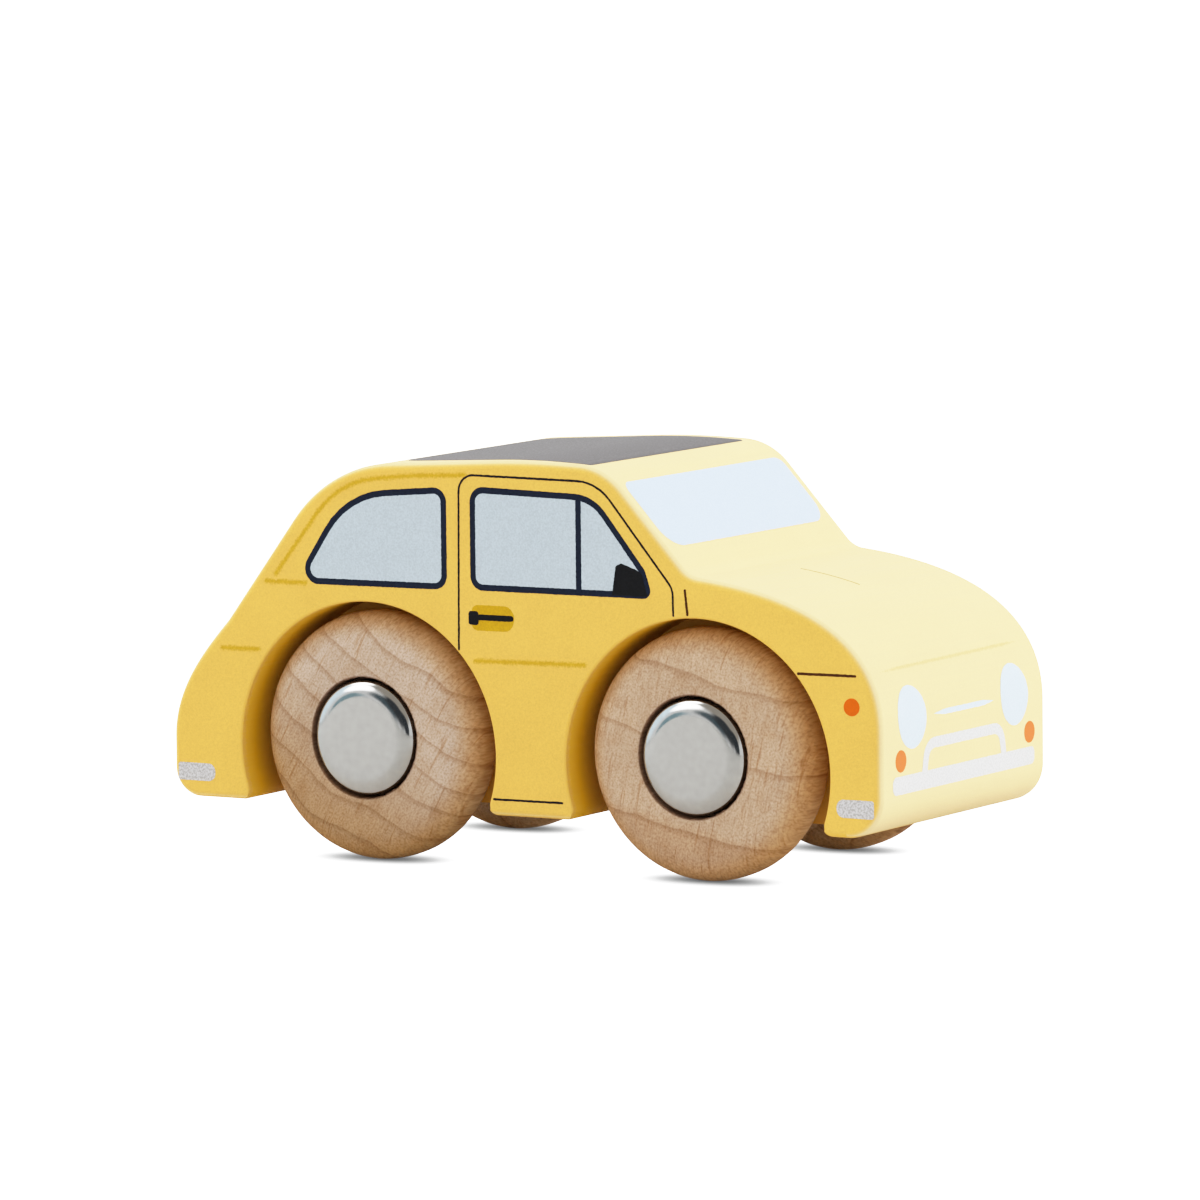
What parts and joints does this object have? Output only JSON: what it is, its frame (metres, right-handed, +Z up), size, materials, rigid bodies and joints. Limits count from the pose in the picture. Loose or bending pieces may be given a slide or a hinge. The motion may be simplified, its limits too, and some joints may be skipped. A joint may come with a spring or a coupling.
{
  "type": "wooden toy car",
  "caption": "Small push-along toy car sawn from a wooden block, with turned wooden wheels in round side pockets, rolling freely on steel axles with push-on caps.",
  "frame": {"origin": "on the ground under the middle of the car", "axes": "+X towards the nose, +Y towards the car's left side, +Z up"},
  "size_m": [0.091, 0.0386, 0.0458],
  "materials": {
    "painted_wood": "satin yellow paint with printed details",
    "wheel_beech": "bare turned beech",
    "cap_steel": "bright plated steel",
    "axle_steel": "drawn steel",
    "spring_steel": "dark spring steel",
    "washer_nylon": "moulded"
  },
  "bodies": {
    "body": {"body": "painted_wood"},
    "front_axle": {"front_axle": "axle_steel", "hub_cap_front_left": "cap_steel", "hub_cap_front_right": "cap_steel", "retaining_ring_front_left": "spring_steel", "retaining_ring_front_right": "spring_steel", "spacer_washer_front_left": "washer_nylon", "spacer_washer_front_right": "washer_nylon"},
    "rear_axle": {"rear_axle": "axle_steel", "hub_cap_rear_left": "cap_steel", "hub_cap_rear_right": "cap_steel", "retaining_ring_rear_left": "spring_steel", "retaining_ring_rear_right": "spring_steel", "spacer_washer_rear_left": "washer_nylon", "spacer_washer_rear_right": "washer_nylon"},
    "wheel_front_left": {"wheel_front_left": "wheel_beech"},
    "wheel_front_right": {"wheel_front_right": "wheel_beech"},
    "wheel_rear_left": {"wheel_rear_left": "wheel_beech"},
    "wheel_rear_right": {"wheel_rear_right": "wheel_beech"}
  },
  "joints": [
    {"name": "front_axle_spin", "type": "hinge", "parent": "body", "child": "front_axle", "pos_m": [0.0218, 0, 0.014], "axis": [0, 1, 0], "continuous": true},
    {"name": "rear_axle_spin", "type": "hinge", "parent": "body", "child": "rear_axle", "pos_m": [-0.02045, 0, 0.014], "axis": [0, 1, 0], "continuous": true},
    {"name": "wheel_front_left_spin", "type": "hinge", "parent": "front_axle", "child": "wheel_front_left", "pos_m": [0.0218, 0.01467, 0.014], "axis": [0, 1, 0], "continuous": true},
    {"name": "wheel_front_right_spin", "type": "hinge", "parent": "front_axle", "child": "wheel_front_right", "pos_m": [0.0218, -0.01467, 0.014], "axis": [0, 1, 0], "continuous": true},
    {"name": "wheel_rear_left_spin", "type": "hinge", "parent": "rear_axle", "child": "wheel_rear_left", "pos_m": [-0.02045, 0.01467, 0.014], "axis": [0, 1, 0], "continuous": true},
    {"name": "wheel_rear_right_spin", "type": "hinge", "parent": "rear_axle", "child": "wheel_rear_right", "pos_m": [-0.02045, -0.01467, 0.014], "axis": [0, 1, 0], "continuous": true}
  ]
}
